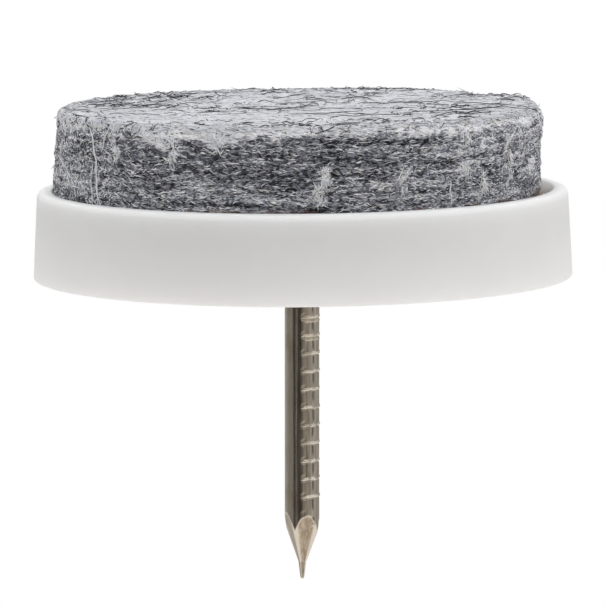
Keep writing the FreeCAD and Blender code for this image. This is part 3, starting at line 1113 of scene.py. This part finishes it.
def make_felt_disc(material):
    """Felt disc with its relief, closed by a plain glued face, with marks for its shade, grain and glue."""
    turn = np.arange(FELT_SEGMENTS) * TAU / FELT_SEGMENTS
    face = np.linspace(FELT_MIDDLE, FELT_FLAT, FACE_ROWS)
    edge = np.linspace(FELT_FLAT, FELT_SIDE_RUN, EDGE_ROWS)[1:]
    side = np.linspace(FELT_SIDE_RUN, side_run(FELT_TOP_Z), SIDE_ROWS)[1:]
    run = np.concatenate([face, edge, side])[:, None]
    turns = turn[None, :] + 0 * run
    skin = on_felt(turns, run, felt_relief(turns, run))
    glued = []
    for share in GLUED_RINGS:
        ring = skin[-1].copy()
        ring[:, 0] = FELT_AXIS_X + (ring[:, 0] - FELT_AXIS_X) * share
        ring[:, 1] *= share
        ring[:, 2] = FELT_TOP_Z
        glued.append(ring)
    felt = lofted("felt_disc", np.concatenate([skin, np.stack(glued)]), material)
    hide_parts("felt_pad")

    radius, height = felt_profile(run)[:2]
    height = height + 0 * turns
    pale = pale_share(turns, height)
    # painted shade: the batt lies darker than the fibres over it
    batt = side_tone(turns, height) - BATT_PAINTED_GAP_SHADE + BATT_IN_TUFT * tuft_share(turns, height)
    clouds = face_noise(turns, radius, cell=2.2, start=40, cells=97, seed=25)
    over_edge = eased(height, *BATT_EDGE_HEIGHTS)
    # painted light brightens the pale layer over the edge
    pale_shade = BATT_PALE + BATT_PALE_CLOUDS * clouds + BATT_PALE_PAINTED_LIGHT * over_edge
    pale_grain = BATT_PALE_GRAIN + BATT_PALE_GRAIN_OVER_EDGE * over_edge
    shade = batt * (1 - pale) + pale_shade * pale
    grain = BATT_GRAIN * (1 - pale) + pale_grain * pale
    hidden = np.zeros(len(glued) * FELT_SEGMENTS + 2)
    add_mark(felt, "shade", np.concatenate([shade.ravel(), hidden + BATT_HIDDEN]))
    add_mark(felt, "grain", np.concatenate([grain.ravel(), hidden + BATT_HIDDEN]))
    add_mark(felt, "glue", np.concatenate([glue_share(turns, height).ravel(), hidden]))


# Felt fibres

def strands(name, paths, width, shade, material, glue=0.0):
    """Closed three-sided tubes along paths, each in a cell of its own on the strand map."""
    count, length, _ = paths.shape
    along = np.gradient(paths, axis=1)
    along /= np.linalg.norm(along, axis=2, keepdims=True) + TINY
    aside = np.cross(along, paths - np.array([FELT_AXIS_X, 0.0, RIM_Z]))
    aside /= np.linalg.norm(aside, axis=2, keepdims=True) + TINY
    off = np.cross(aside, along)
    share = np.linspace(0.0, 1.0, length)
    taper = FIBRE_END + (1 - FIBRE_END) * np.sin(math.pi * share) ** 0.5
    thick = (width[:, None] / 2 * taper)[:, :, None]
    rings = []
    for k in range(FIBRE_SIDES):
        turn = TAU * k / FIBRE_SIDES
        rings.append(paths + thick * (math.cos(turn) * aside + FIBRE_FLATNESS * math.sin(turn) * off))
    points = np.stack(rings, 2).reshape(-1, 3)

    strand = np.arange(count)[:, None, None] * (length * FIBRE_SIDES)
    ring = np.arange(length - 1)[None, :, None] * FIBRE_SIDES
    corner = np.arange(FIBRE_SIDES)[None, None, :]
    following = (corner + 1) % FIBRE_SIDES
    base = strand + ring
    upper = base + FIBRE_SIDES
    quads = np.stack([base + corner, base + following, upper + following, upper + corner], -1)
    start = np.arange(count) * (length * FIBRE_SIDES)
    end = start + (length - 1) * FIBRE_SIDES
    start_cap = np.stack([start + 2, start + 1, start], -1)
    end_cap = np.stack([end, end + 1, end + 2], -1)
    piece = mesh_piece(name, points, [quads.reshape(-1, 4), start_cap, end_cap], material)
    add_mark(piece, "shade", np.repeat(shade, length * FIBRE_SIDES))
    add_mark(piece, "glue", np.repeat(glue + 0 * shade, length * FIBRE_SIDES))
    add_strand_map(piece, count, length)


def add_strand_map(piece, count, length):
    """Map in which each strand lies flat in its own square cell."""
    per_side = math.ceil(math.sqrt(count))
    cell = np.arange(count)
    origin = np.stack([cell % per_side, cell // per_side], -1)
    u = np.arange(length - 1)[:, None] / (length - 1)
    v = np.arange(FIBRE_SIDES)[None, :] / FIBRE_SIDES
    step_u, step_v = 1 / (length - 1), 1 / FIBRE_SIDES
    quad = np.stack([
        np.stack([u + 0 * v, v + 0 * u], -1),
        np.stack([u + 0 * v, v + step_v + 0 * u], -1),
        np.stack([u + step_u + 0 * v, v + step_v + 0 * u], -1),
        np.stack([u + step_u + 0 * v, v + 0 * u], -1),
    ], 2).reshape(1, -1, 2)
    cap = np.array([[[0.0, 0.0], [step_u, 0.5], [0.0, 1.0]]])
    squeeze = 1 - 2 * CELL_MARGIN
    layers = []
    for local in (quad, cap, cap):
        placed = origin[:, None, :] + CELL_MARGIN + squeeze * local
        layers.append(placed.reshape(-1, 2))
    places = np.concatenate(layers) / per_side
    layer = piece.data.uv_layers.new(name=STRAND_MAP)
    layer.uv.foreach_set("vector", places.astype(np.float32).ravel())


def fibre_lengths(rng, count, middle, spread, least, most):
    """Lengths of fibres, most of them near the middle one and a few far longer."""
    return rng.lognormal(math.log(middle), spread, count).clip(least, most)


def from_middle(points):
    """Places along a strand, from -0.5 to 0.5."""
    return np.linspace(-0.5, 0.5, points)[None, :]


def wander(rng, count, points, length, heading, bends):
    """Steps of strands in a plane: each sets off on its heading, curls evenly and kinks a little."""
    curl, kink = bends
    share = from_middle(points)
    bend = rng.normal(0.0, curl, (count, 1))
    wave = rng.normal(0.0, kink, (count, 1))
    phase = rng.uniform(0.0, TAU, (count, 1))
    waves = rng.uniform(*FIBRE_WAVES, (count, 1))
    direction = heading[:, None] + bend * share + wave * np.sin(TAU * waves * share + phase)
    stride = length[:, None] / (points - 1)
    first = np.cumsum(np.cos(direction) * stride, axis=1)
    second = np.cumsum(np.sin(direction) * stride, axis=1)
    middle = points // 2
    return first - first[:, middle:middle + 1], second - second[:, middle:middle + 1]


def make_side_fibres(material):
    """Short fibres of the side, level along its layers and pulled upright in the tufts."""
    rng = np.random.default_rng(SEED + 31)
    count = SIDE_FIBRES
    table = np.array(TUFTS)
    weight = table[:, 3] * (table[:, 2] - table[:, 1])
    tuft = rng.choice(len(TUFTS), TUFT_FIBRES, p=weight / weight.sum())
    azimuth, start, end, strength = table[tuft].T
    tuft_height = start + (end - start) * rng.random(TUFT_FIBRES)
    scatter = TUFT_SCATTER + TUFT_SCATTER_BY_STRENGTH * strength
    tuft_off = rng.normal(0.0, scatter, TUFT_FIBRES) - tuft_sway(tuft, tuft_height)
    even = count - TUFT_FIBRES
    foot_run = side_run(SIDE_FOOT_Z)
    turn = np.concatenate([rng.uniform(0.0, TAU, even), photo_turn(azimuth) + tuft_off / FELT_RADIUS])
    run = np.concatenate([rng.uniform(FELT_FLAT - SIDE_OVERLAP, foot_run, even), side_run(tuft_height)])
    height = felt_profile(run)[1]
    pulled = (rng.random(count) < TUFT_PULL * tuft_share(turn, height)) | (np.arange(count) >= even)
    in_pale = rng.random(count) < pale_share(turn, height)
    length = fibre_lengths(rng, count, *SIDE_LENGTHS)
    slope = SIDE_SLOPE + SIDE_SLOPE_MORE * np.clip(np.cos(turn) * 2 - 1, 0.0, 1.0)
    level = rng.normal(0.0, 1.0, count) * slope
    upright = math.pi / 2 + rng.normal(0.0, UPRIGHT_SLOPE, count)
    heading = np.where(pulled, upright, level) + math.pi * (rng.random(count) < 0.5)
    along, rise = wander(rng, count, SIDE_POINTS, length, heading, SIDE_BENDS)
    turns = turn[:, None] + along / FELT_RADIUS
    runs = np.minimum(run[:, None] + rise, foot_run)
    depth = rng.uniform(*SIDE_LIFTS, (count, 1)) + TUFT_LIFT * pulled[:, None]
    dip = rng.uniform(*SIDE_DIPS, (count, 1)) * (2 * from_middle(SIDE_POINTS)) ** 2
    paths = on_felt(turns, runs, felt_relief(turns, runs) + depth - dip)
    salt = np.where(rng.random(count) < SALT_SHARE, SALT_SHADE, PEPPER_SHADE)
    shade = side_tone(turn, height) + salt + rng.normal(0.0, SHADE_SPREAD, count)
    over_edge = eased(height, *PALE_SIDE_EDGE_HEIGHTS)
    peppered = rng.random(count) < PALE_SIDE_PEPPER + PALE_SIDE_PEPPER_MORE * over_edge
    # painted light brightens the pale fibres over the edge
    pale_shade = rng.normal(*PALE_SIDE_SHADE, count) + PALE_SIDE_PAINTED_LIGHT * over_edge
    pepper_shade = rng.uniform(*PALE_SIDE_PEPPER_SHADES, count)
    shade = np.where(in_pale, np.where(peppered, pepper_shade, pale_shade), shade)
    pulled_shade = np.where(rng.random(count) < TUFT_PALE_SHARE, TUFT_PALE_SHADE, TUFT_GREY_SHADE)
    pulled_shade = pulled_shade + rng.normal(0.0, TUFT_SHADE_SPREAD, count)
    shade = np.where(pulled, pulled_shade, shade).clip(0.0, 1.0)
    glue = glue_share(turn, height)
    width = rng.uniform(*SIDE_WIDTHS, count)
    middle_shade = np.median(shade)
    for name, chosen in (
        ("felt_side_fibres_dark", shade < middle_shade),
        ("felt_side_fibres_pale", shade >= middle_shade),
    ):
        strands(name, paths[chosen], width[chosen], shade[chosen], material, glue[chosen])


def face_paths(rng, radius, turn, points, length, bends, lift, reach):
    """Strands lying every way on the floor face, turned back where they would pass their reach."""
    count = len(radius)
    heading = rng.uniform(0.0, TAU, count)
    first, second = wander(rng, count, points, length, heading, bends)
    x = (radius * np.cos(turn))[:, None] + first
    y = (radius * np.sin(turn))[:, None] + second
    run = reach - np.abs(reach - np.hypot(x, y))
    turns = np.arctan2(y, x)
    return on_felt(turns, run, felt_relief(turns, run) + lift)


def scattered(rng, count, reach):
    """Even scatter of places over a disc, as radius and turn."""
    return np.sqrt(rng.uniform(0.0, reach * reach, count)), rng.uniform(0.0, TAU, count)


def clustered(rng, clusters, each, spread, reach):
    """Places in loose clusters over a disc, a few more towards its edge, as radius and turn."""
    radius, turn = scattered(rng, clusters, 1.0)
    radius = reach * radius ** CLUSTER_GATHER
    x = np.repeat(radius * np.cos(turn) - HAIR_LEAN, each) + rng.normal(0.0, spread, clusters * each)
    y = np.repeat(radius * np.sin(turn), each) + rng.normal(0.0, spread, clusters * each)
    return reach - np.abs(reach - np.hypot(x, y)), np.arctan2(y, x)


def make_face_fibres(material):
    """Pale matted fibres of the floor face, with dark curly ones and specks among them."""
    rng = np.random.default_rng(SEED + 32)
    over_reach = FACE_REACH + FACE_OVERHANG

    count = PALE_FACE_FIBRES
    length = fibre_lengths(rng, count, *PALE_FACE_LENGTHS)
    lift = rng.uniform(*PALE_FACE_LIFTS, (count, 1))
    lift = lift - rng.uniform(*PALE_FACE_DIPS, (count, 1)) * (2 * from_middle(PALE_FACE_POINTS)) ** 2
    radius, turn = scattered(rng, count, FACE_REACH)
    paths = face_paths(rng, radius, turn, PALE_FACE_POINTS, length, PALE_FACE_BENDS, lift, over_reach)
    shade = rng.normal(*PALE_FACE_SHADE, count).clip(*PALE_FACE_SHADE_LIMITS)
    strands("felt_face_fibres_pale", paths, rng.uniform(*PALE_FACE_WIDTHS, count), shade, material)

    radius, turn = clustered(rng, DARK_CLUSTERS, DARK_EACH, DARK_SPREAD, FACE_REACH - DARK_INSET)
    count = len(radius)
    length = fibre_lengths(rng, count, *DARK_LENGTHS)
    arches = rng.uniform(*DARK_ARCHES, (count, 1)) * from_middle(DARK_POINTS)
    arches = arches + rng.uniform(0.0, 1.0, (count, 1))
    lift = rng.uniform(*DARK_LIFTS, (count, 1))
    lift = lift + rng.uniform(*DARK_ARCH_HEIGHTS, (count, 1)) * np.cos(TAU * arches)
    paths = face_paths(rng, radius, turn, DARK_POINTS, length, DARK_BENDS, lift, DARK_REACH)
    shade = rng.uniform(*DARK_SHADES, count)
    strands("felt_face_fibres_dark", paths, rng.uniform(*DARK_WIDTHS, count), shade, material)

    radius, turn = clustered(rng, SPECK_CLUSTERS, SPECK_EACH, SPECK_SPREAD, FACE_REACH)
    count = len(radius)
    length = rng.uniform(*SPECK_LENGTHS, count)
    lift = rng.uniform(*SPECK_LIFTS, (count, 1)) - SPECK_DIP * (2 * from_middle(SPECK_POINTS)) ** 2
    paths = face_paths(rng, radius, turn, SPECK_POINTS, length, SPECK_BENDS, lift, over_reach)
    shade = rng.uniform(*SPECK_SHADES, count)
    strands("felt_face_specks", paths, rng.uniform(*SPECK_WIDTHS, count), shade, material)


def stray_values(rng, ranges):
    """Even scatter of a value, in one range for the clump and one for the single stray hairs."""
    clump, single = ranges
    return np.concatenate([rng.uniform(*clump, STRAY_CLUMP), rng.uniform(*single, STRAY_SINGLES)])


def make_stray_hairs(material):
    """Dark hairs that stand off the far part of the floor face in a clump, and single ones round the disc."""
    rng = np.random.default_rng(SEED + 34)
    count = STRAY_CLUMP + STRAY_SINGLES
    clump_turn = rng.normal(math.radians(STRAY_CLUMP_TURN), STRAY_CLUMP_SCATTER, STRAY_CLUMP)
    turn = np.concatenate([clump_turn, rng.uniform(0.0, TAU, STRAY_SINGLES)])
    clump_run = rng.normal(FELT_FLAT - STRAY_CLUMP_INSET, STRAY_CLUMP_DEPTH, STRAY_CLUMP)
    single_run = (FELT_FLAT - STRAY_SINGLE_INSET, side_run(STRAY_SINGLE_HIGHEST))
    run = np.concatenate([clump_run, rng.uniform(*single_run, STRAY_SINGLES)])
    length = stray_values(rng, STRAY_LENGTHS)
    rise = stray_values(rng, STRAY_RISES)
    heading = rng.uniform(0.0, TAU, count)
    first, second = wander(rng, count, STRAY_POINTS, length, heading, STRAY_BENDS)
    lift = rise[:, None] * np.linspace(0.0, 1.0, STRAY_POINTS)[None, :] ** STRAY_UPTURN
    paths = on_felt(turn[:, None] + first / FELT_RADIUS, run[:, None] + second, lift)
    shade = stray_values(rng, STRAY_SHADES)
    strands("felt_stray_hairs", paths, rng.uniform(*STRAY_WIDTHS, count), shade, material)


def make_loose_threads(material):
    """Long pale threads that hang loose down the side."""
    rng = np.random.default_rng(SEED + 35)
    rows = list(LOOSE_THREADS)
    for azimuth in rng.uniform(*FAR_THREAD_SPAN, FAR_SIDE_THREADS):
        start = rng.uniform(*FAR_THREAD_STARTS)
        end = min(start + rng.uniform(*FAR_THREAD_LENGTHS), FAR_THREAD_LAST_END)
        bow = rng.normal(0.0, FAR_THREAD_BOW)
        hanging = azimuth + bow * FAR_THREAD_BOW_AT_END
        rows.append(((azimuth, start), (azimuth + bow, (start + end) / 2), (hanging, end)))
    knots = np.array(rows)
    count = len(knots)
    share = np.linspace(0.0, 1.0, THREAD_POINTS)[None, :, None]
    curve = knots[:, :1] * (1 - share) ** 2 + knots[:, 2:] * share ** 2
    curve = curve + 2 * share * (1 - share) * knots[:, 1:2]
    share = share[:, :, 0]
    wave = np.sin(TAU * THREAD_WAVES * share + rng.uniform(0.0, TAU, (count, 1)))
    turns = photo_turn(curve[:, :, 0]) + THREAD_WAVE * wave
    lift = THREAD_LIFT + rng.uniform(*THREAD_BULGES, (count, 1)) * np.sin(math.pi * share)
    paths = on_felt(turns, side_run(curve[:, :, 1]), lift)
    shade = rng.uniform(*THREAD_SHADES, count)
    strands("felt_loose_threads", paths, rng.uniform(*THREAD_WIDTHS, count), shade, material)


# Glue

def make_glue_bead(material):
    """Glue squeezed up between the felt and the wide side of the recess."""
    low, high = photo_turn(GLUE_BEAD_SPAN[1]), photo_turn(GLUE_BEAD_SPAN[0])
    turn = np.linspace(low, high, GLUE_BEAD_SECTIONS)[:, None]
    share = np.linspace(0.0, 1.0, GLUE_BEAD_SECTIONS)[:, None]
    inset = FELT_AXIS_X * np.sin(turn)
    felt_side = FELT_AXIS_X * np.cos(turn) + np.sqrt(FELT_RADIUS ** 2 - inset ** 2)
    inner = felt_side - GLUE_BEAD_LAP
    outer = RECESS_RADIUS - GLUE_BEAD_OFF_WALL
    lumps = ring_noise(turn, 0 * turn, cells=44, seed=41)
    crown = RIM_Z + GLUE_BEAD_CROWN + GLUE_BEAD_LUMPS * lumps
    crown = RECESS_FLOOR_Z + (crown - RECESS_FLOOR_Z) * np.sin(math.pi * share) ** GLUE_BEAD_ENDS
    floor = RECESS_FLOOR_Z - GLUE_BEAD_OFF_FLOOR
    crown = np.minimum(crown, floor - GLUE_BEAD_THIN_CROWN)
    across = np.linspace(0.0, 1.0, GLUE_BEAD_TOP_POINTS)[None, :]
    top_radius = inner + (outer - inner) * across
    sag = GLUE_BEAD_SAG * (1 - (2 * across - 1) ** 2)
    top_height = np.minimum(crown + sag, floor - GLUE_BEAD_THINNEST)
    foot_radius = inner + (outer - inner) * np.array([GLUE_BEAD_FOOT])
    radius = np.concatenate([top_radius, foot_radius], 1)
    height = np.concatenate([top_height, floor + 0 * foot_radius], 1)
    rings = np.stack([radius * np.cos(turn), radius * np.sin(turn), height], -1)
    lofted("glue_bead", rings, material)


# Camera, light and floor

def make_camera():
    """Camera of the photograph, turned over with the part: it looks up at the felt, with -Z at the top."""
    data = bpy.data.cameras.new("photo_camera")
    data.lens = CAMERA_LENS
    data.sensor_width = SENSOR_WIDTH
    data.clip_start = CAMERA_NEAR * MM
    data.clip_end = CAMERA_FAR * MM
    camera = bpy.data.objects.new("photo_camera", data)
    bpy.context.scene.collection.objects.link(camera)
    place = Vector((AIM_X, -CAMERA_AWAY, -CAMERA_BELOW)) * MM
    ahead = (Vector((AIM_X, 0.0, AIM_Z)) * MM - place).normalized()
    right = ahead.cross(Vector((0.0, 0.0, -1.0))).normalized()
    top = right.cross(ahead)
    axes = Matrix((right, top, -ahead)).transposed()
    roll = Matrix.Rotation(math.radians(CAMERA_ROLL), 3, "Z")
    camera.matrix_world = Matrix.Translation(place) @ (axes @ roll).to_4x4()
    bpy.context.scene.camera = camera


def make_studio():
    """White to the camera; for the part a soft tent, brightest under the felt and dark towards the camera."""
    world = bpy.data.worlds.new("studio")
    bpy.context.scene.world = world
    bpy.context.scene.view_settings.view_transform = "Standard"
    f = Finish(world)
    x, y, z = f.parts(f.node("ShaderNodeTexCoord", output="Generated"))
    left_turn = f.node("ShaderNodeMath", {"operation": "ARCTAN2"}, {0: x, 1: y * -1})
    walls = f.ramp(left_turn / TAU + 0.5, [(place, grey(level)) for place, level in STUDIO_WALLS])
    nail_side = f.blend(f.between(z, 0.15, 0.6), walls, STUDIO_NAIL_END)
    tent = f.blend(f.between(z * -1, 0.2, 0.7), nail_side, grey(STUDIO_FELT_END))
    lit = f.node("ShaderNodeBackground", sockets={"Color": tent, "Strength": 1.0})
    white = f.node("ShaderNodeBackground", sockets={"Color": grey(1.0), "Strength": 1.0})
    seen = f.node("ShaderNodeLightPath", output="Is Camera Ray")
    f.surface(f.node("ShaderNodeMixShader", sockets={0: seen, 1: lit, 2: white}), "ShaderNodeOutputWorld")


def make_floor():
    """Pale floor under the felt, which only a camera above it sees."""
    signs = ((-1, -1), (1, -1), (1, 1), (-1, 1))
    corners = [(x * FLOOR_HALF * MM, y * FLOOR_HALF * MM, 0.0) for x, y in signs]
    mesh = bpy.data.meshes.new("floor")
    mesh.from_pydata(corners, [], [(0, 1, 2, 3)])
    material = bpy.data.materials.new("pale_floor")
    f = Finish(material)
    clouds = f.noise(f.place(), 0.01, 2.0)
    paint = f.node("ShaderNodeBsdfPrincipled", sockets={
        "Base Color": f.blend(clouds, grey(0.80), grey(0.84)),
        "Roughness": 0.7,
    })
    clear = f.node("ShaderNodeBsdfTransparent")
    under = f.node("ShaderNodeNewGeometry", output="Backfacing")
    f.surface(f.node("ShaderNodeMixShader", sockets={0: under, 1: paint, 2: clear}))
    mesh.materials.append(material)
    floor = bpy.data.objects.new("floor", mesh)
    bpy.context.scene.collection.objects.link(floor)
    for ray in ("diffuse", "glossy", "transmission", "shadow"):
        setattr(floor, f"visible_{ray}", False)


make_camera()
make_studio()
make_floor()
make_cup(satin_plastic())
make_nail(drawn_steel())
make_felt_disc(felt_batt())
fibre = felt_fibre()
make_side_fibres(fibre)
make_face_fibres(fibre)
make_stray_hairs(fibre)
make_loose_threads(fibre)
glue = amber_glue()
make_glue_bead(glue)
glue_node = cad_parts["adhesive_layer"]
glue_node.data.materials.clear()
glue_node.data.materials.append(glue)
